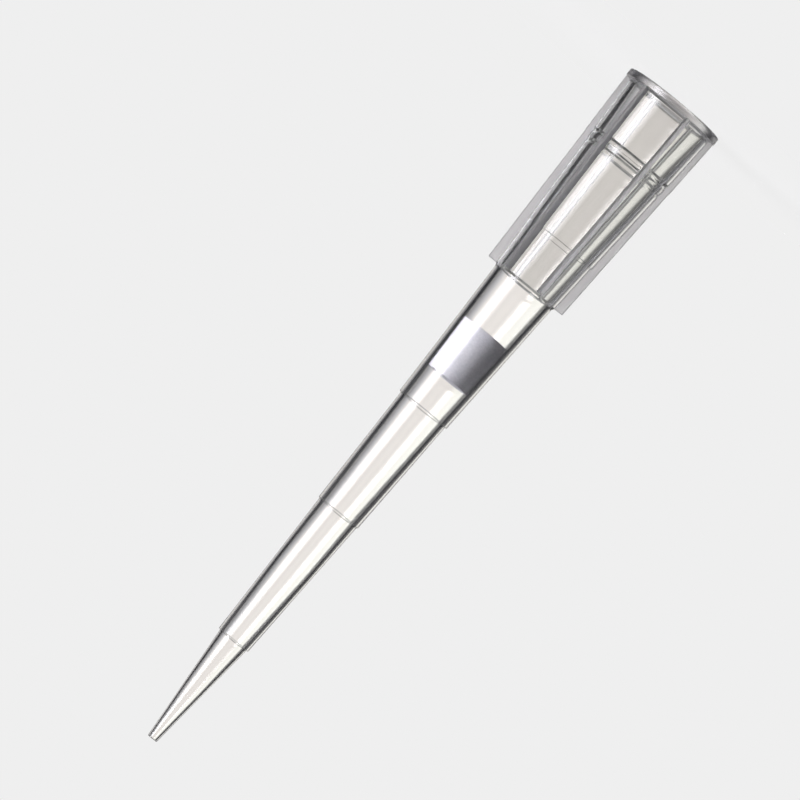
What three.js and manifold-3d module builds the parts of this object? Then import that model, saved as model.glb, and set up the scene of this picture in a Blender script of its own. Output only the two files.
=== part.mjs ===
// Filter pipette tip, standing on its rim with the dispensing end up.
// One clear polypropylene moulding, the tip body, with a porous polyethylene plug pressed into its bore.
// Millimetres, +Z along the tip's axis from the rim towards the dispensing end, origin at the centre
// of the rim's flat face. Heights are counted from that face.

import * as THREE from 'three';
import { mergeVertices } from 'three/addons/utils/BufferGeometryUtils.js';
import Module from 'manifold-3d';

const wasm = await Module();
wasm.setup();

// Driving dimensions

// Lengths of the stretches that the axis is divided into, from the rim's face to the dispensing end.
const collarLength = 15.54;
const upperTubeLength = 10.61;
const middleTubeLength = 8.8;
const lowerTubeLength = 10.83;
const noseLength = 8.42;

// Bore radii, from the mouth that takes the pipette's cone to the orifice.
const mouthBoreRadius = 2.92;
const sealBoreRadius = 2.63;
const collarEndBoreRadius = 2.01;
const shoulderBoreRadius = 1.95;
const upperMarkBoreRadius = 1.52;
const middleMarkBoreRadius = 1.22;
const tubeBendBoreRadius = 1.15;
const lowerMarkBoreRadius = 0.89;
const noseBendBoreRadius = 0.62;
const orificeRadius = 0.23;

// The bore tapers fastest from the mouth to this depth, where the pipette's cone seals.
const sealDepth = 3.62;

// The bore's shoulder, where the collar's wide bore turns into the tube's.
const shoulderStart = 0.52;
const shoulderLength = 0.9;

// The bore bends this far past the middle mark, and again this far past the lower mark.
const tubeBendRise = 4.5;
const noseBendRise = 3.8;

// Lead-in chamfer that guides the pipette's cone into the mouth.
const leadInDepth = 0.25;
const leadInWidth = 0.13;

// Wall thicknesses.
const collarWallAtRim = 0.42;
const collarWallAtBand = 0.56;
const collarWallBelowBand = 0.52;
const collarWallAtStep = 0.54;
const collarWallAtEnd = 0.48;
const tubeWall = 0.43;
const upperMarkWall = 0.485;
const middleMarkWall = 0.45;
const lowerMarkWall = 0.355;
const orificeWall = 0.14;

// Each volume mark is a step where the outside drops by this much.
const upperMarkStep = 0.115;
const middleMarkStep = 0.085;
const lowerMarkStep = 0.12;
const markStepLength = 0.12;

// The sealing band: shallow rounded grooves round the collar's outside.
const bandHeight = 4.51;
const grooveCount = 2;
const groovePitch = 0.74;
const grooveWidth = 0.42;
const grooveDepth = 0.08;
const grooveSteps = 6;

// A fine step in the collar's outside, nearer its end.
const collarStepHeight = 11.99;
const collarStepLength = 0.11;
const collarStepDrop = 0.07;

// Rim flange: a flat face, a short cylinder and a hollow flare down to the collar's wall.
const rimOverhang = 0.42;
const rimThickness = 0.45;
const rimFlareLength = 0.27;
const rimEdgeChamfer = 0.045;

// Small round where the collar's end turns into the tube.
const collarEndStepLength = 0.2;

// Bevel round the dispensing end.
const noseEndBevel = 0.06;

// Fins: thin ribs that run down the collar from just inside the rim's edge and end square.
const finCount = 6;
const finThickness = 0.29;
const finSetBackAtRim = 0.02;
const finProudAtBand = 0.39;
const finProudAtEnd = 0.65;
const finRootDepth = 0.18;
const finEndChamfer = 0.045;

// Each fin's outer edge steps in slightly at the sealing band.
const finStepHeight = 4.93;
const finStepLength = 0.05;
const finStepDrop = 0.03;

// Porous filter plug, pressed down the tube's taper until it jams.
const filterDepth = 4.11;
const filterLength = 3.98;
const filterClearance = 0.04;
const filterEdgeChamfer = 0.07;

// Facets round the axis, shared by the body and the plug so that their walls run parallel.
const roundFacets = 60;

// Values worked out from the driving dimensions

const upperMarkHeight = collarLength + upperTubeLength;
const middleMarkHeight = upperMarkHeight + middleTubeLength;
const lowerMarkHeight = middleMarkHeight + lowerTubeLength;
const tipHeight = lowerMarkHeight + noseLength;

// The bore as [height, radius] stations, with a straight taper between neighbours.
const boreStations = [
  [0, mouthBoreRadius + leadInWidth],
  [leadInDepth, mouthBoreRadius],
  [sealDepth, sealBoreRadius],
  [collarLength - shoulderStart, collarEndBoreRadius],
  [collarLength - shoulderStart + shoulderLength, shoulderBoreRadius],
  [upperMarkHeight, upperMarkBoreRadius],
  [middleMarkHeight, middleMarkBoreRadius],
  [middleMarkHeight + tubeBendRise, tubeBendBoreRadius],
  [lowerMarkHeight, lowerMarkBoreRadius],
  [lowerMarkHeight + noseBendRise, noseBendBoreRadius],
  [tipHeight, orificeRadius],
];

// Radius on a run of stations at any height.
function radiusAt(stations, height) {
  const next = Math.max(1, stations.findIndex(([stationHeight]) => stationHeight >= height));
  const [lowHeight, lowRadius] = stations[next - 1];
  const [highHeight, highRadius] = stations[next];
  const share = (height - lowHeight) / (highHeight - lowHeight);
  return THREE.MathUtils.lerp(lowRadius, highRadius, share);
}

const boreRadiusAt = (height) => radiusAt(boreStations, height);

// Outside radius where the wall has a given thickness over the bore.
const outsideAt = (height, wall) => boreRadiusAt(height) + wall;

// The collar's outside, without its rim and fins.
function collarOutline() {
  const rimFoot = rimThickness + rimFlareLength;
  const bandEnd = bandHeight + groovePitch * (grooveCount - 1) + grooveWidth;
  const bandWall = outsideAt(bandHeight, collarWallAtBand);
  const bandEndWall = outsideAt(bandEnd, collarWallBelowBand);
  const stepWall = outsideAt(collarStepHeight, collarWallAtStep);
  const outline = [[rimFoot, outsideAt(rimFoot, collarWallAtRim)]];
  for (let groove = 0; groove < grooveCount; groove += 1) {
    const start = bandHeight + groove * groovePitch;
    for (let step = 0; step <= grooveSteps; step += 1) {
      const share = step / grooveSteps;
      const height = start + share * grooveWidth;
      const wall = THREE.MathUtils.mapLinear(height, bandHeight, bandEnd, bandWall, bandEndWall);
      const depth = (grooveDepth * (1 - Math.cos(share * Math.PI * 2))) / 2;
      outline.push([height, wall - depth]);
    }
  }
  outline.push([collarStepHeight, stepWall]);
  outline.push([collarStepHeight + collarStepLength, stepWall - collarStepDrop]);
  outline.push([collarLength, outsideAt(collarLength - shoulderStart, collarWallAtEnd)]);
  return outline;
}

// The rim's outside, from its flat face round its edge and in along the hollow flare.
function rimOutline(wallRadius) {
  const rimRadius = wallRadius + rimOverhang;
  const outline = [
    [0, rimRadius - rimEdgeChamfer],
    [rimEdgeChamfer, rimRadius],
  ];
  const flareSteps = 3;
  for (let step = 0; step < flareSteps; step += 1) {
    const turn = (step / flareSteps) * (Math.PI / 2);
    const height = rimThickness + rimFlareLength * (1 - Math.cos(turn));
    const radius = rimRadius - rimOverhang * Math.sin(turn);
    outline.push([height, radius]);
  }
  return outline;
}

// The tube's outside: a taper to each mark, a short step in, and the next taper.
function tubeOutline() {
  const tubeStart = collarLength + collarEndStepLength;
  const marks = [
    [upperMarkHeight, upperMarkWall, upperMarkStep],
    [middleMarkHeight, middleMarkWall, middleMarkStep],
    [lowerMarkHeight, lowerMarkWall, lowerMarkStep],
  ];
  const outline = [[tubeStart, outsideAt(collarLength - shoulderStart + shoulderLength, tubeWall)]];
  for (const [height, wall, step] of marks) {
    const radius = outsideAt(height, wall);
    outline.push([height, radius]);
    outline.push([height + markStepLength, radius - step]);
  }
  const endRadius = orificeRadius + orificeWall;
  outline.push([tipHeight - noseEndBevel, endRadius]);
  outline.push([tipHeight, endRadius - noseEndBevel]);
  return outline;
}

// A solid of revolution about Z from a closed outline of [height, radius] points.
function turned(outline) {
  const closed = [...outline, outline[0]];
  const points = closed.map(([height, radius]) => new THREE.Vector2(radius, height));
  return new THREE.LatheGeometry(points, roundFacets).rotateX(Math.PI / 2);
}

// One fin as a flat plate in the plane of the axis, its root sunk into the collar's wall.
function finPlate(collar) {
  const top = rimThickness / 2;
  const end = collarLength;
  const topWall = collar[0][1];
  const endWall = collar[collar.length - 1][1];
  const topRadius = topWall + rimOverhang - finSetBackAtRim;
  const bandRadius = outsideAt(bandHeight, collarWallAtBand) + finProudAtBand;
  const endRadius = endWall + finProudAtEnd;
  const shape = new THREE.Shape();
  shape.moveTo(topWall - finRootDepth, top);
  shape.lineTo(topRadius, top);
  shape.lineTo(bandRadius, finStepHeight);
  shape.lineTo(bandRadius - finStepDrop, finStepHeight + finStepLength);
  shape.lineTo(endRadius, end - finEndChamfer);
  shape.lineTo(endRadius - finEndChamfer, end);
  shape.lineTo(endWall - finRootDepth, end);
  shape.closePath();
  const plate = new THREE.ExtrudeGeometry(shape, { depth: finThickness, bevelEnabled: false });
  return plate.translate(0, 0, -finThickness / 2).rotateX(Math.PI / 2);
}

// A closed geometry as a manifold-3d solid.
function toSolid(geometry) {
  geometry.deleteAttribute('normal');
  geometry.deleteAttribute('uv');
  const merged = mergeVertices(geometry, 1e-5);
  const vertProperties = new Float32Array(merged.attributes.position.array);
  const triVerts = new Uint32Array(merged.index.array);
  return new wasm.Manifold(new wasm.Mesh({ numProp: 3, vertProperties, triVerts }));
}

// A manifold-3d solid as a geometry with flat normals.
function toGeometry(solid) {
  const { vertProperties, triVerts } = solid.getMesh();
  const geometry = new THREE.BufferGeometry();
  geometry.setAttribute('position', new THREE.BufferAttribute(vertProperties, 3));
  geometry.setIndex(new THREE.BufferAttribute(triVerts, 1));
  const flat = geometry.toNonIndexed();
  flat.computeVertexNormals();
  return flat;
}

// The tip body: rim, collar and tube turned as one, then the fins joined to it.
function tipBody() {
  const collar = collarOutline();
  const outside = [...rimOutline(collar[0][1]), ...collar, ...tubeOutline()];
  const inside = [...boreStations].reverse();
  let body = toSolid(turned([...outside, ...inside]));
  for (let fin = 0; fin < finCount; fin += 1) {
    const plate = finPlate(collar).rotateZ((fin / finCount) * Math.PI * 2);
    body = body.add(toSolid(plate));
  }
  return toGeometry(body);
}

// The filter plug: it follows the bore's taper with a small clearance.
function filterPlug() {
  const top = collarLength + filterDepth;
  const end = top + filterLength;
  const wallTop = top + filterEdgeChamfer;
  const wallEnd = end - filterEdgeChamfer;
  const bends = boreStations.map(([height]) => height);
  const wallHeights = [wallTop, ...bends.filter((bend) => bend > wallTop && bend < wallEnd), wallEnd];
  const outline = [
    [top, 0],
    [top, boreRadiusAt(top) - filterClearance - filterEdgeChamfer],
    ...wallHeights.map((height) => [height, boreRadiusAt(height) - filterClearance]),
    [end, boreRadiusAt(end) - filterClearance - filterEdgeChamfer],
    [end, 0],
  ];
  const points = outline.map(([height, radius]) => new THREE.Vector2(radius, height));
  return new THREE.LatheGeometry(points, roundFacets).rotateX(Math.PI / 2);
}

// Materials

const clearPolypropylene = new THREE.MeshStandardMaterial({
  color: 0xe4e3de,
  roughness: 0.08,
  metalness: 0,
  transparent: true,
  opacity: 0.4,
});

const porousPolyethylene = new THREE.MeshStandardMaterial({
  color: 0xd9d8e0,
  roughness: 0.9,
  metalness: 0,
});

// The assembly

function part(name, geometry, material) {
  const mesh = new THREE.Mesh(geometry, material);
  mesh.name = name;
  return mesh;
}

const pipetteTip = new THREE.Group();
pipetteTip.name = 'pipette_tip';
pipetteTip.add(part('tip_body', tipBody(), clearPolypropylene));
pipetteTip.add(part('filter_plug', filterPlug(), porousPolyethylene));

export default pipetteTip;
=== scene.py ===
import bpy
import math
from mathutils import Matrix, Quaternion, Vector


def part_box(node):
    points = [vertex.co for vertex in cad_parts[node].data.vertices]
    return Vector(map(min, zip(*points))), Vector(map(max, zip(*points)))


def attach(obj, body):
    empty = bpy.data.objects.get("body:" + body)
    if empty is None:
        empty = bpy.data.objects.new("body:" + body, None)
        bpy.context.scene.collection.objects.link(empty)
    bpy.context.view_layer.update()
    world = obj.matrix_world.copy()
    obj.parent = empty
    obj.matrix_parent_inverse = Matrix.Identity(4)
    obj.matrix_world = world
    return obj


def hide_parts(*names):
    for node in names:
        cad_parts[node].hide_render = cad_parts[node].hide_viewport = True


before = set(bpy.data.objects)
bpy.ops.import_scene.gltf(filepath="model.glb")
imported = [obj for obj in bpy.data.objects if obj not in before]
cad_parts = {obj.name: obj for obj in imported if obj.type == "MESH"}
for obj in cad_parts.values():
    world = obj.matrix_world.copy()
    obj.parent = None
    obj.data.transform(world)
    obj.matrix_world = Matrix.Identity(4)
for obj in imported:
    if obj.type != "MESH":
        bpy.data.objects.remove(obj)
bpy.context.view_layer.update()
bpy.context.scene.view_settings.view_transform = "Standard"


# ---------------------------------------------------------------------------------------------
# Tip body, the wall. One thin injection moulding in clear polypropylene: a flanged rim, a tapered
# collar with two grooves and a step, and a tube with three stepped volume marks up to the
# orifice. It is turned here as one outline, outside and bore, and its edges are then rounded.
# ---------------------------------------------------------------------------------------------

MM = 0.001

# Heights in millimetres from the rim's flat face. The marks are counted from the rim too.
tip_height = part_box("tip_body")[1].z / MM
seat_end = 3.62
collar_bore_end = 15.02
collar_end = 15.54
tube_bore_start = 15.92
first_mark = 26.15
second_mark = 34.95
tube_bend = 39.45
third_mark = 45.78
nose_start = 49.58

# The bore, as heights and radii: a lead-in at the mouth, the seat that grips the cone, the
# collar's taper, and the tube's tapers up to the orifice.
bore = [
    (0, 2.99),
    (0.08, 2.935),
    (seat_end, 2.63),
    (collar_bore_end, 2.01),
    (tube_bore_start, 1.95),
    (first_mark, 1.52),
    (second_mark, 1.22),
    (tube_bend, 1.15),
    (third_mark, 0.89),
    (nose_start, 0.62),
    (tip_height, 0.23),
]
mouth, lead_in, *bore_bends, orifice = bore


def bore_radius(height):
    """The bore's radius at a height, in millimetres."""
    for (low, low_radius), (high, high_radius) in zip(bore, bore[1:]):
        if height <= high:
            share = (height - low) / (high - low)
            return low_radius + share * (high_radius - low_radius)
    return orifice[1]


# The rim: a flat face, a short edge and a hollow flare, a quarter ellipse, in to the wall.
rim_radius = 3.719
rim_thickness = 0.5
flare_length = 0.22
wall_at_rim = 3.3
rim_rings = [(0, rim_radius), (rim_thickness, rim_radius)]
outside = list(rim_rings)
for turn in (22.5, 45, 67.5):
    up = flare_length * (1 - math.cos(math.radians(turn)))
    inward = (rim_radius - wall_at_rim) * math.sin(math.radians(turn))
    outside.append((rim_thickness + up, rim_radius - inward))
flare_end = (rim_thickness + flare_length, wall_at_rim)
outside.append(flare_end)

# The sealing band: two rounded grooves round the collar. Each has a start, a radius and a depth.
grooves = ((4.51, 3.142, 0.1), (5.25, 3.076, 0.075))
groove_width = 0.42
groove_steps = 10
wall_slope = (grooves[1][1] - grooves[0][1]) / (grooves[1][0] - grooves[0][0])
for start, radius, deepest in grooves:
    for step in range(groove_steps + 1):
        share = step / groove_steps
        along = share * groove_width
        depth = deepest * (1 - math.cos(2 * math.pi * share)) / 2
        outside.append((start + along, radius + along * wall_slope - depth))

# A fine step three quarters of the way up the collar, and the drop to the tube at its end.
collar_step = 11.99
collar_step_length = 0.025
collar_drop_length = 0.16
step_rings = [(collar_step, 2.715), (collar_step + collar_step_length, 2.649)]
drop_top = (collar_end, 2.49)
drop_foot = (collar_end + collar_drop_length, 2.38)
outside += step_rings + [drop_top, drop_foot]

# Each volume mark is a small step in the outside, with the wall before it and the drop after it.
volume_marks = (
    (first_mark, 0.485, 0.115),
    (second_mark, 0.45, 0.085),
    (third_mark, 0.355, 0.12),
)
mark_length = 0.03
mark_rings = []
for height, wall, drop in volume_marks:
    radius = bore_radius(height) + wall
    mark_rings += [(height, radius), (height + mark_length, radius - drop)]
outside += mark_rings

# The nose ends in a flat ring round the orifice, with a small chamfer outside.
nose_radius = 0.37
nose_chamfer = 0.045
nose_rings = [(tip_height - nose_chamfer, nose_radius), (tip_height, nose_radius - nose_chamfer)]
outside += nose_rings

# One ring at the rim is pulled along the whole outline: up the outside and back down the bore.
facets = 240
bpy.ops.object.select_all(action="DESELECT")
height, radius = outside[0]
bpy.ops.mesh.primitive_circle_add(vertices=facets, radius=radius * MM, location=(0, 0, height * MM))
tip = bpy.context.object
tip.name = "clear_tip_body"
bpy.ops.object.transform_apply(location=True, rotation=True, scale=True)
bpy.ops.object.mode_set(mode="EDIT")
bpy.ops.mesh.select_all(action="SELECT")
for next_height, next_radius in outside[1:] + bore[::-1]:
    rise = (next_height - height) * MM
    spread = next_radius / radius
    bpy.ops.mesh.extrude_edges_move(TRANSFORM_OT_translate={"value": (0, 0, rise)})
    bpy.ops.transform.resize(value=(spread, spread, 1), center_override=(0, 0, 0))
    height, radius = next_height, next_radius
bpy.ops.object.mode_set(mode="OBJECT")


def select_rings(piece, rings):
    """Selects the edges of the rings at these heights and radii, in millimetres, and nothing else."""
    tolerance = 0.002
    ring_of = {}
    for vertex in piece.data.vertices:
        spot = vertex.co / MM
        reach = math.hypot(spot.x, spot.y)
        for number, (height, radius) in enumerate(rings):
            if abs(spot.z - height) < tolerance and abs(reach - radius) < tolerance:
                ring_of[vertex.index] = number
    for face in piece.data.polygons:
        face.select = False
    for edge in piece.data.edges:
        start, end = (ring_of.get(corner) for corner in edge.vertices)
        edge.select = start is not None and start == end
    for vertex in piece.data.vertices:
        vertex.select = vertex.index in ring_of


# The flat ring between the mouth and the rim's edge closes the wall.
bpy.context.tool_settings.mesh_select_mode = (False, True, False)
select_rings(tip, [rim_rings[0], mouth])
bpy.ops.object.mode_set(mode="EDIT")
bpy.ops.mesh.bridge_edge_loops()
bpy.ops.mesh.select_all(action="SELECT")
bpy.ops.mesh.normals_make_consistent(inside=False)
bpy.ops.object.mode_set(mode="OBJECT")

# Rounds on the moulding's edges, in millimetres: the rings and the size of their round.
bend_round = 0.3
for rings, size in (
    (rim_rings + [mouth], 0.045),
    ([flare_end], 0.04),
    (step_rings, 0.01),
    ([drop_top], 0.04),
    ([drop_foot], 0.05),
    (mark_rings, 0.012),
    (nose_rings + [orifice], 0.018),
    ([lead_in], 0.03),
    (bore_bends, bend_round),
):
    select_rings(tip, rings)
    bpy.ops.object.mode_set(mode="EDIT")
    bpy.ops.mesh.bevel(offset=size * MM, segments=3, affect="EDGES")
    bpy.ops.object.mode_set(mode="OBJECT")

# Loops cut close beside each feature keep the shading of the long walls straight. Around the
# collar's end the bore's two bends are too close together for loops between them.
rim_round_end = 0.14
beside_flare = 0.1
beside_groove = 0.05
beside_step = 0.06
beside_drop = 0.1
beside_bend = bend_round + 0.03
beside_nose = 0.12
loops = [rim_round_end, flare_end[0] + beside_flare, tip_height - beside_nose]
loops += [collar_step - beside_step, collar_step + collar_step_length + beside_step]
loops += [drop_top[0] - beside_drop, drop_foot[0] + beside_drop]
loops += [collar_bore_end - beside_bend, tube_bore_start + beside_bend]
for start, _, _ in grooves:
    loops += [start - beside_groove, start + groove_width + beside_groove]
for height, _, _ in volume_marks:
    loops += [height - beside_step, height + mark_length + beside_step]
for height in (seat_end, first_mark, second_mark, tube_bend, third_mark, nose_start):
    loops += [height - beside_bend, height + beside_bend]
bpy.ops.object.mode_set(mode="EDIT")
for height in sorted(loops):
    bpy.ops.mesh.select_all(action="SELECT")
    bpy.ops.mesh.bisect(plane_co=(0, 0, height * MM), plane_no=(0, 0, 1), threshold=0.0001 * MM)
bpy.ops.object.mode_set(mode="OBJECT")


# ---------------------------------------------------------------------------------------------
# Tip body, the fins. Six ribs stand on the collar, from the rim to its square end, so that tips
# stack and eject without sticking. They are moulded with the wall, in slots that were spark
# eroded into the mould, which leaves their faces satin. One rib is shaped, copied and joined on.
# ---------------------------------------------------------------------------------------------

fin_count = 6
fin_thickness = 0.29
fin_start = 0.225
fin_step = 4.93
fin_step_length = 0.05
fin_root = 2.95
fin_root_at_end = 2.25
fin_edge = [(fin_start, 3.70), (fin_step, 3.53), (fin_step + fin_step_length, 3.50), (collar_end, 3.14)]
fin_round = 0.06

# A radius that parts the fin's outer corners from those at its root.
fin_halfway = fin_root + 0.3

start_radius, step_radius = fin_edge[0][1], fin_edge[1][1]
fin_size = (start_radius - fin_root, fin_thickness, fin_step - fin_start)
fin_middle = (fin_root + fin_size[0] / 2, 0, fin_start + fin_size[2] / 2)
bpy.ops.object.select_all(action="DESELECT")
bpy.ops.mesh.primitive_cube_add(
    size=1, location=[c * MM for c in fin_middle], scale=[c * MM for c in fin_size]
)
fin = bpy.context.object
fin.name = "fin"
bpy.ops.object.transform_apply(location=True, rotation=True, scale=True)


def place_end(piece, height, root, edge):
    """Puts the corners at this height on the radii of the root and the edge, in millimetres."""
    tolerance = 0.001
    for vertex in piece.data.vertices:
        if abs(vertex.co.z / MM - height) < tolerance:
            outer = vertex.co.x > fin_halfway * MM
            vertex.co.x = (edge if outer else root) * MM


def select_top(piece, height):
    """Selects the faces whose middle is at this height, in millimetres, and nothing else."""
    tolerance = 0.001
    for part in (piece.data.vertices, piece.data.edges):
        for item in part:
            item.select = False
    for face in piece.data.polygons:
        face.select = abs(face.center.z / MM - height) < tolerance


bpy.context.tool_settings.mesh_select_mode = (False, False, True)
root_fall = (fin_root_at_end - fin_root) / (collar_end - fin_step)
place_end(fin, fin_step, fin_root, step_radius)
for (low, _), (high, edge) in zip(fin_edge[1:], fin_edge[2:]):
    select_top(fin, low)
    bpy.ops.object.mode_set(mode="EDIT")
    bpy.ops.mesh.extrude_region_move(TRANSFORM_OT_translate={"value": (0, 0, (high - low) * MM)})
    bpy.ops.object.mode_set(mode="OBJECT")
    place_end(fin, high, fin_root + root_fall * (high - fin_step), edge)

# The fin's two long outer edges are rounded.
for edge in fin.data.edges:
    low, high = (fin.data.vertices[corner].co for corner in edge.vertices)
    lengthwise = abs(high.z - low.z) > 0.5 * (high - low).length
    edge.select = lengthwise and (low.x + high.x) / 2 > fin_halfway * MM
bpy.context.tool_settings.mesh_select_mode = (False, True, False)
bpy.ops.object.mode_set(mode="EDIT")
bpy.ops.mesh.bevel(offset=fin_round * MM, segments=3, affect="EDGES")
bpy.ops.mesh.select_all(action="SELECT")
bpy.ops.mesh.normals_make_consistent(inside=False)
bpy.ops.object.mode_set(mode="OBJECT")

fins = [fin]
while len(fins) < fin_count:
    bpy.ops.object.select_all(action="DESELECT")
    fins[-1].select_set(True)
    bpy.context.view_layer.objects.active = fins[-1]
    bpy.ops.object.duplicate()
    bpy.ops.transform.rotate(
        value=2 * math.pi / fin_count, orient_axis="Z", center_override=(0, 0, 0)
    )
    fins.append(bpy.context.object)
bpy.ops.object.select_all(action="DESELECT")
for piece in fins:
    piece.select_set(True)
bpy.context.view_layer.objects.active = fin
bpy.ops.object.join()
bpy.ops.object.transform_apply(location=True, rotation=True, scale=True)


# ---------------------------------------------------------------------------------------------
# Tip body, the plastic. Clear polypropylene, with slow flow marks from the gate: polished mould
# steel leaves the walls glossy, spark eroded slots leave the fins satin, and the core pin leaves
# the bore a little hazy.
# ---------------------------------------------------------------------------------------------


def linear(hex_colour):
    """A colour written as sRGB hex, as linear values."""
    parts = [int(hex_colour[i : i + 2], 16) / 255 for i in (0, 2, 4)]
    return [c / 12.92 if c <= 0.04045 else ((c + 0.055) / 1.055) ** 2.4 for c in parts] + [1]


def add_node(tree, kind, inputs=None, **settings):
    """A node with its settings. An input is a value or another node's output."""
    node = tree.nodes.new(kind)
    for name, value in settings.items():
        setattr(node, name, value)
    for name, value in (inputs or {}).items():
        if isinstance(value, bpy.types.NodeSocket):
            tree.links.new(value, node.inputs[name])
        else:
            node.inputs[name].default_value = value
    return node


flow_size = 4.0
flow_depth = 0.003


def clear_polypropylene(name, light, shade, rough_low, rough_high, grain_size, grain_depth):
    """Clear polypropylene with flow marks, and a grain of this size and depth, in millimetres."""
    material = bpy.data.materials.new(name)
    material.use_nodes = True
    tree = material.node_tree
    tree.nodes.clear()
    place = add_node(tree, "ShaderNodeTexCoord").outputs["Object"]
    flow = add_node(
        tree, "ShaderNodeTexNoise", {"Vector": place, "Scale": 1 / (flow_size * MM), "Detail": 1.0}
    )
    grain = add_node(
        tree, "ShaderNodeTexNoise", {"Vector": place, "Scale": 1 / (grain_size * MM), "Detail": 2.0}
    )
    rough = add_node(
        tree,
        "ShaderNodeMapRange",
        {"Value": grain.outputs["Fac"], "To Min": rough_low, "To Max": rough_high},
    )
    waves = add_node(
        tree,
        "ShaderNodeBump",
        {"Height": flow.outputs["Fac"], "Strength": 1.0, "Distance": flow_depth * MM},
    )
    bumps = add_node(
        tree,
        "ShaderNodeBump",
        {
            "Height": grain.outputs["Fac"],
            "Strength": 1.0,
            "Distance": grain_depth * MM,
            "Normal": waves.outputs["Normal"],
        },
    )
    tint = add_node(
        tree,
        "ShaderNodeMix",
        {"Factor": flow.outputs["Fac"], "A": linear(light), "B": linear(shade)},
        data_type="RGBA",
    )
    plastic = add_node(
        tree,
        "ShaderNodeBsdfPrincipled",
        {
            "Base Color": tint.outputs["Result"],
            "Roughness": rough.outputs["Result"],
            "Normal": bumps.outputs["Normal"],
            "IOR": 1.49,
            "Transmission Weight": 1.0,
        },
    )
    add_node(tree, "ShaderNodeOutputMaterial", {"Surface": plastic.outputs["BSDF"]})
    return material


# The polished walls are glossy and clear, so the dark lines of the room pass through them sharp.
polished = clear_polypropylene("polypropylene_polished", "FDFDFC", "FBFBF9", 0.02, 0.05, 0.8, 0.0001)

# The satin of the ribs spreads the light, so they look frosted. The real grain of a spark eroded
# face is too fine to show, and is drawn as coarse as it needs to be.
satin = clear_polypropylene("polypropylene_satin", "EEEEF0", "E6E6EA", 0.54, 0.7, 0.08, 0.003)

# The rim's edge, where the mould parts, is a little dull, so its highlights are soft.
dull = clear_polypropylene("polypropylene_rim", "E8E8EC", "E2E2E6", 0.2, 0.3, 0.1, 0.001)

# The bore's haze greys what shows through the collar.
hazy = clear_polypropylene("polypropylene_hazy", "DFDFDC", "DADAD8", 0.03, 0.07, 0.8, 0.0001)

# The ribs are satin all over, and the wall is polished, apart from the rim's edge and flare, and
# the bore from its lead-in to the collar's end.
finishes = [polished, satin, hazy, dull]
for piece, finish in ((tip, polished), (fin, satin)):
    for material in finishes:
        piece.data.materials.append(material)
    for face in piece.data.polygons:
        face.material_index = finishes.index(finish)
lead_in_end = 0.1
near_surface = 0.05
for face in tip.data.polygons:
    height = face.center.z / MM
    reach = math.hypot(face.center.x, face.center.y) / MM
    if lead_in_end < height < collar_end and reach < bore_radius(height) + near_surface:
        face.material_index = finishes.index(hazy)
    elif reach > wall_at_rim + near_surface and height < flare_end[0]:
        face.material_index = finishes.index(dull)

# The ribs are joined to the wall as one moulding.
bpy.ops.object.select_all(action="DESELECT")
tip.select_set(True)
bpy.context.view_layer.objects.active = tip
bpy.ops.object.modifier_add(type="BOOLEAN")
union = tip.modifiers[-1]
union.operation = "UNION"
union.solver = "EXACT"
union.object = fin
bpy.ops.object.modifier_apply(modifier=union.name)
bpy.data.objects.remove(fin)

# Edges turned by more than 24 degrees stay sharp, and the long faces rule the shading.
bpy.ops.object.shade_smooth_by_angle(angle=math.radians(24))
bpy.ops.object.modifier_add(type="WEIGHTED_NORMAL")
even = tip.modifiers[-1]
even.keep_sharp = True
even.weight = 100
bpy.ops.object.modifier_apply(modifier=even.name)

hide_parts("tip_body")
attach(tip, "root")


# ---------------------------------------------------------------------------------------------
# Filter plug. Beads of polyethylene sintered into a porous rod, cut to length and pressed down
# the bore until it jams.
# ---------------------------------------------------------------------------------------------

plug_clearance = 0.005
plug_round = 0.06
plug_low, plug_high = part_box("filter_plug")
plug_ends = []
for height in (plug_low.z / MM, plug_high.z / MM):
    plug_ends.append((height, bore_radius(height) - plug_clearance))
(_, wide_radius), (narrow_end, narrow_radius) = plug_ends

bpy.ops.object.select_all(action="DESELECT")
bpy.ops.mesh.primitive_cylinder_add(
    vertices=96,
    radius=wide_radius * MM,
    depth=plug_high.z - plug_low.z,
    location=(0, 0, (plug_low.z + plug_high.z) / 2),
)
plug = bpy.context.object
plug.name = "sintered_plug"
bpy.ops.object.transform_apply(location=True, rotation=True, scale=True)
bpy.context.tool_settings.mesh_select_mode = (False, False, True)
select_top(plug, narrow_end)
bpy.ops.object.mode_set(mode="EDIT")
narrowing = narrow_radius / wide_radius
bpy.ops.transform.resize(value=(narrowing, narrowing, 1), center_override=(0, 0, 0))
bpy.ops.object.mode_set(mode="OBJECT")
bpy.context.tool_settings.mesh_select_mode = (False, True, False)
select_rings(plug, plug_ends)
bpy.ops.object.mode_set(mode="EDIT")
bpy.ops.mesh.bevel(offset=plug_round * MM, segments=3, affect="EDGES")
bpy.ops.object.mode_set(mode="OBJECT")
bpy.ops.object.shade_smooth_by_angle(angle=math.radians(40))

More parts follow.
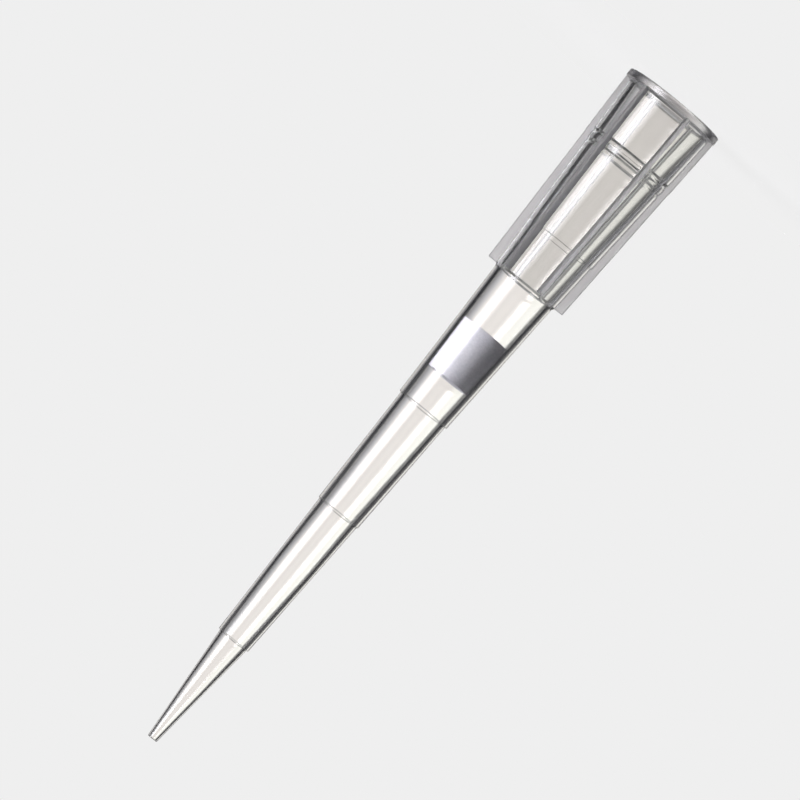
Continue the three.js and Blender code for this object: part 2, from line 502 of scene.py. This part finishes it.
# The pores scatter the light, so the plug is matt and pale, with a faint grain. The real beads
# are finer, and are drawn at a size that shows. The real plug is white, and is written a shade
# darker here because the softbox on it is strong.
bead_size = 0.16
pore_depth = 0.02
sintered = bpy.data.materials.new("polyethylene_sintered")
sintered.use_nodes = True
tree = sintered.node_tree
tree.nodes.clear()
place = add_node(tree, "ShaderNodeTexCoord").outputs["Object"]
beads = add_node(tree, "ShaderNodeTexVoronoi", {"Vector": place, "Scale": 1 / (bead_size * MM)})
shade = add_node(
    tree,
    "ShaderNodeMix",
    {"Factor": beads.outputs["Distance"], "A": linear("BEBDC4"), "B": linear("AFAEB7")},
    data_type="RGBA",
)
pores = add_node(
    tree,
    "ShaderNodeBump",
    {"Height": beads.outputs["Distance"], "Strength": 0.6, "Distance": pore_depth * MM},
)
foam = add_node(
    tree,
    "ShaderNodeBsdfPrincipled",
    {
        "Base Color": shade.outputs["Result"],
        "Roughness": 0.9,
        "Normal": pores.outputs["Normal"],
        "Specular IOR Level": 0.2,
    },
)
add_node(tree, "ShaderNodeOutputMaterial", {"Surface": foam.outputs["BSDF"]})
plug.data.materials.append(sintered)
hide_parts("filter_plug")
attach(plug, "root")


# ---------------------------------------------------------------------------------------------
# Camera. A long lens far away, a little above the floor, and rolled so that the tip lies across
# the picture with its mouth at the upper right. Its distance and view are in metres.
# ---------------------------------------------------------------------------------------------

azimuth = math.radians(-8)
elevation = math.radians(3.3)
roll = math.radians(219.48)
distance = 0.922
view_width = 0.05266
aim_height = 26.62 * MM
aim_aside = 1.577 * MM

towards_camera = Vector(
    (
        math.sin(azimuth) * math.cos(elevation),
        -math.cos(azimuth) * math.cos(elevation),
        math.sin(elevation),
    )
)
aside = Vector((math.cos(azimuth), math.sin(azimuth), 0))
aim = Vector((0, 0, aim_height)) + aside * aim_aside
upright = towards_camera.to_track_quat("Z", "Y")
bpy.ops.object.camera_add(location=aim + towards_camera * distance)
camera = bpy.context.object
camera.rotation_mode = "QUATERNION"
camera.rotation_quaternion = upright @ Quaternion((0, 0, 1), roll)
camera.data.sensor_width = 36
camera.data.lens = camera.data.sensor_width * distance / view_width
camera.data.clip_start = 0.05
camera.data.clip_end = 10
bpy.context.scene.camera = camera


# ---------------------------------------------------------------------------------------------
# Floor. A plain pale sheet that carries the tip's soft contact shadow. Away from the tip it has
# the backdrop's own colour, so its edge doesn't show.
# ---------------------------------------------------------------------------------------------

sheet_radius = 270
sheet_drop = 0.01
backdrop = linear("EFEFEF")
bpy.ops.object.select_all(action="DESELECT")
bpy.ops.mesh.primitive_circle_add(
    vertices=96, radius=sheet_radius * MM, fill_type="NGON", location=(0, 0, -sheet_drop * MM)
)
floor = bpy.context.object
floor.name = "floor"


def set_stops(ramp, stops):
    """Gives a colour ramp its stops, each a spot from 0 to 1 and a colour, first and last included."""
    for number, (spot, colour) in enumerate(stops):
        if number == 0:
            stop = ramp.elements[0]
        elif number == len(stops) - 1:
            stop = ramp.elements[-1]
        else:
            stop = ramp.elements.new(spot)
        stop.color = colour


# Paper, matt and even. Close to the tip a part of its brightness is reflected light, which the
# tip can shade.
own_glow = 0.95
fade_start = 7
fade_end = 27
pale = bpy.data.materials.new("floor_paper")
pale.use_nodes = True
tree = pale.node_tree
tree.nodes.clear()
place = add_node(tree, "ShaderNodeTexCoord").outputs["Object"]
reach = add_node(tree, "ShaderNodeVectorMath", {0: place}, operation="LENGTH").outputs["Value"]
path = add_node(tree, "ShaderNodeLightPath")
far = add_node(tree, "ShaderNodeEmission", {"Color": backdrop})
base = add_node(tree, "ShaderNodeEmission", {"Color": [c * own_glow for c in backdrop[:3]] + [1]})
paper = add_node(tree, "ShaderNodeBsdfDiffuse", {"Color": linear("343434")})
near = add_node(tree, "ShaderNodeAddShader", {0: base.outputs[0], 1: paper.outputs[0]})
fade = add_node(
    tree,
    "ShaderNodeMapRange",
    {"Value": reach, "From Min": fade_start * MM, "From Max": fade_end * MM},
    interpolation_type="SMOOTHSTEP",
)
seen = add_node(
    tree, "ShaderNodeMixShader", {0: fade.outputs["Result"], 1: near.outputs[0], 2: far.outputs[0]}
)

# Through the clear plastic the sheet shows painted shade under the rim, dark rings that the
# camera doesn't see directly, and else lets the studio show. A ring has its distance from the
# tip's axis, in millimetres, and how dark it is.
painted_shade_rings = (
    (0, 0.8),
    (0.9, 0.8),
    (1.5, 0.12),
    (4.8, 0.05),
    (6, 0.6),
    (7.2, 0.6),
    (8.5, 0.3),
    (9.5, 0.85),
    (11.8, 0.85),
    (12.8, 0.1),
    (30, 0),
    (sheet_radius, 0),
)
outward = add_node(tree, "ShaderNodeMapRange", {"Value": reach, "From Max": sheet_radius * MM})
shade = add_node(tree, "ShaderNodeValToRGB", {"Fac": outward.outputs["Result"]})
ring_stops = [(spot / sheet_radius, (level, level, level, 1)) for spot, level in painted_shade_rings]
set_stops(shade.color_ramp, ring_stops)
clear = add_node(tree, "ShaderNodeBsdfTransparent")
black = add_node(tree, "ShaderNodeBsdfDiffuse", {"Color": (0.01, 0.01, 0.01, 1)})
through = add_node(
    tree, "ShaderNodeMixShader", {0: shade.outputs["Color"], 1: clear.outputs[0], 2: black.outputs[0]}
)
whole = add_node(
    tree,
    "ShaderNodeMixShader",
    {0: path.outputs["Is Camera Ray"], 1: through.outputs[0], 2: seen.outputs[0]},
)
add_node(tree, "ShaderNodeOutputMaterial", {"Surface": whole.outputs[0]})
floor.data.materials.append(pale)


# ---------------------------------------------------------------------------------------------
# Studio. A window behind the tip with dark cards on both sides of it, and one softbox in front to
# one side. The cards draw the dark lines of the clear walls. The camera sees the plain backdrop.
# Bearings are counted from straight behind the tip, and rises from the horizon.
# ---------------------------------------------------------------------------------------------

world = bpy.data.worlds.new("studio")
bpy.context.scene.world = world
world.use_nodes = True
# Only bounced rays find this light, because only they know what kind of surface they left.
world.cycles.sampling_method = "NONE"
tree = world.node_tree
tree.nodes.clear()
path = add_node(tree, "ShaderNodeLightPath")
sight = add_node(tree, "ShaderNodeTexCoord").outputs["Generated"]
turned = add_node(
    tree,
    "ShaderNodeVectorRotate",
    {"Vector": sight, "Angle": -(azimuth + math.pi / 2)},
    rotation_type="Z_AXIS",
)
axes = add_node(tree, "ShaderNodeSeparateXYZ", {"Vector": turned.outputs["Vector"]})
bearing = add_node(
    tree, "ShaderNodeMath", {0: axes.outputs["Y"], 1: axes.outputs["X"]}, operation="ARCTAN2"
).outputs["Value"]
rise = add_node(tree, "ShaderNodeMath", {0: axes.outputs["Z"]}, operation="ARCSINE").outputs["Value"]


def around(stops):
    """Light by bearing, all the way round. Each stop is a bearing in degrees, a colour and a level."""
    share = add_node(
        tree,
        "ShaderNodeMapRange",
        {"Value": bearing, "From Min": -math.pi, "From Max": math.pi},
    )
    node = add_node(tree, "ShaderNodeValToRGB", {"Fac": share.outputs["Result"]})
    top = max(level for _, _, level in stops)
    shares = []
    for degrees, colour, level in stops:
        scaled = [c * level / top for c in linear(colour)[:3]]
        shares.append(((degrees + 180) / 360, scaled + [1]))
    set_stops(node.color_ramp, shares)
    return add_node(
        tree, "ShaderNodeVectorMath", {0: node.outputs["Color"], "Scale": top}, operation="SCALE"
    ).outputs["Vector"]


def band(low, high, soft):
    """1 between two rises in degrees, with soft edges."""
    edges = []
    for degrees in (low, high):
        start, end = math.radians(degrees - soft), math.radians(degrees + soft)
        edge = add_node(
            tree,
            "ShaderNodeMapRange",
            {"Value": rise, "From Min": start, "From Max": end},
            interpolation_type="SMOOTHSTEP",
        )
        edges.append(edge.outputs["Result"])
    return add_node(
        tree, "ShaderNodeMath", {0: edges[0], 1: edges[1]}, operation="SUBTRACT"
    ).outputs["Value"]


# At the tip's height: the softbox from -151 to -111 degrees, dark cards from -60 to -34 and from
# 33 to 62, and between the cards the window, brightest from 6 to 15.
dark = "F6F4FF"
warm = "FFF9F6"
ivory = "FFFEF9"
cool = "FBFAFF"
walls = around(
    [
        (-180, cool, 0.9),
        (-158, cool, 0.7),
        (-151, cool, 2.8),
        (-146, cool, 4.0),
        (-140, cool, 9.5),
        (-132, cool, 10.5),
        (-118, cool, 7.0),
        (-111, cool, 1.5),
        (-96, cool, 0.6),
        (-84, cool, 1.0),
        (-74, cool, 0.9),
        (-64, cool, 0.2),
        (-60, dark, 0.02),
        (-34, dark, 0.02),
        (-30, dark, 0.15),
        (-22, cool, 0.23),
        (-18, cool, 0.36),
        (-12, cool, 0.6),
        (-8, warm, 0.85),
        (3, warm, 0.88),
        (6, ivory, 1.1),
        (15, ivory, 1.15),
        (18, ivory, 0.68),
        (21, ivory, 0.24),
        (28, cool, 0.17),
        (33, dark, 0.03),
        (62, dark, 0.05),
        (76, cool, 0.3),
        (90, cool, 0.8),
        (104, cool, 0.3),
        (114, dark, 0.05),
        (180, cool, 0.9),
    ]
)

# Above and below the window hang pale panels, evenly spaced all round, dimmer towards the floor.
panel_count = 8
panel_offset = math.radians(8)
panel_level = 0.55
panel_swing = 0.35
spaced = add_node(
    tree,
    "ShaderNodeMath",
    {0: bearing, 1: panel_count, 2: -panel_count * panel_offset},
    operation="MULTIPLY_ADD",
)
wave = add_node(tree, "ShaderNodeMath", {0: spaced.outputs[0]}, operation="COSINE")
panels = add_node(
    tree,
    "ShaderNodeMath",
    {0: wave.outputs[0], 1: panel_swing, 2: panel_level},
    operation="MULTIPLY_ADD",
)
low_light = add_node(
    tree,
    "ShaderNodeMapRange",
    {"Value": rise, "From Min": math.radians(-20), "From Max": math.radians(-5), "To Min": 0.35},
)
hung = add_node(
    tree, "ShaderNodeMath", {0: panels.outputs[0], 1: low_light.outputs["Result"]}, operation="MULTIPLY"
)
sides = add_node(
    tree,
    "ShaderNodeMix",
    {"Factor": band(-11, 30, 3), "A": hung.outputs[0], "B": walls},
    data_type="RGBA",
)

# Low behind the tip stands a dark card. Everywhere else the pale sheet shows below the horizon.
off_centre = add_node(tree, "ShaderNodeMath", {0: bearing}, operation="ABSOLUTE")
aside_of_card = add_node(
    tree,
    "ShaderNodeMapRange",
    {"Value": off_centre.outputs[0], "From Min": math.radians(50), "From Max": math.radians(75)},
)
under_card = add_node(
    tree,
    "ShaderNodeMapRange",
    {"Value": rise, "From Min": math.radians(-44), "From Max": math.radians(-52)},
)
open_below = add_node(
    tree,
    "ShaderNodeMath",
    {0: aside_of_card.outputs["Result"], 1: under_card.outputs["Result"]},
    operation="MAXIMUM",
)
below = add_node(
    tree,
    "ShaderNodeMapRange",
    {"Value": rise, "From Min": math.radians(-12), "From Max": math.radians(-18)},
)
sheet_seen = add_node(
    tree,
    "ShaderNodeMath",
    {0: open_below.outputs[0], 1: below.outputs["Result"]},
    operation="MULTIPLY",
)
room = add_node(
    tree,
    "ShaderNodeMix",
    {"Factor": sheet_seen.outputs[0], "A": sides.outputs["Result"], "B": backdrop},
    data_type="RGBA",
)

# Matt surfaces, such as the plug, get brighter light from the softbox and the window, and little
# else.
lamps = around(
    [
        (-180, dark, 0.02),
        (-154, dark, 0.03),
        (-146, cool, 14.0),
        (-138, cool, 19.5),
        (-104, cool, 19.5),
        (-92, dark, 0.03),
        (-40, dark, 0.02),
        (-28, cool, 5.0),
        (28, cool, 5.0),
        (40, dark, 0.02),
        (180, dark, 0.02),
    ]
)
on_matt = add_node(
    tree,
    "ShaderNodeMix",
    {"Factor": band(-25, 40, 8), "A": (0.03, 0.03, 0.03, 1), "B": lamps},
    data_type="RGBA",
)
matt = add_node(
    tree, "ShaderNodeMath", {0: path.outputs["Diffuse Depth"], 1: 0.5}, operation="GREATER_THAN"
)
light = add_node(
    tree,
    "ShaderNodeMix",
    {"Factor": matt.outputs[0], "A": room.outputs["Result"], "B": on_matt.outputs["Result"]},
    data_type="RGBA",
)
colour = add_node(
    tree,
    "ShaderNodeMix",
    {"Factor": path.outputs["Is Camera Ray"], "A": light.outputs["Result"], "B": backdrop},
    data_type="RGBA",
)
sky = add_node(tree, "ShaderNodeBackground", {"Color": colour.outputs["Result"], "Strength": 1.0})
add_node(tree, "ShaderNodeOutputWorld", {"Surface": sky.outputs[0]})
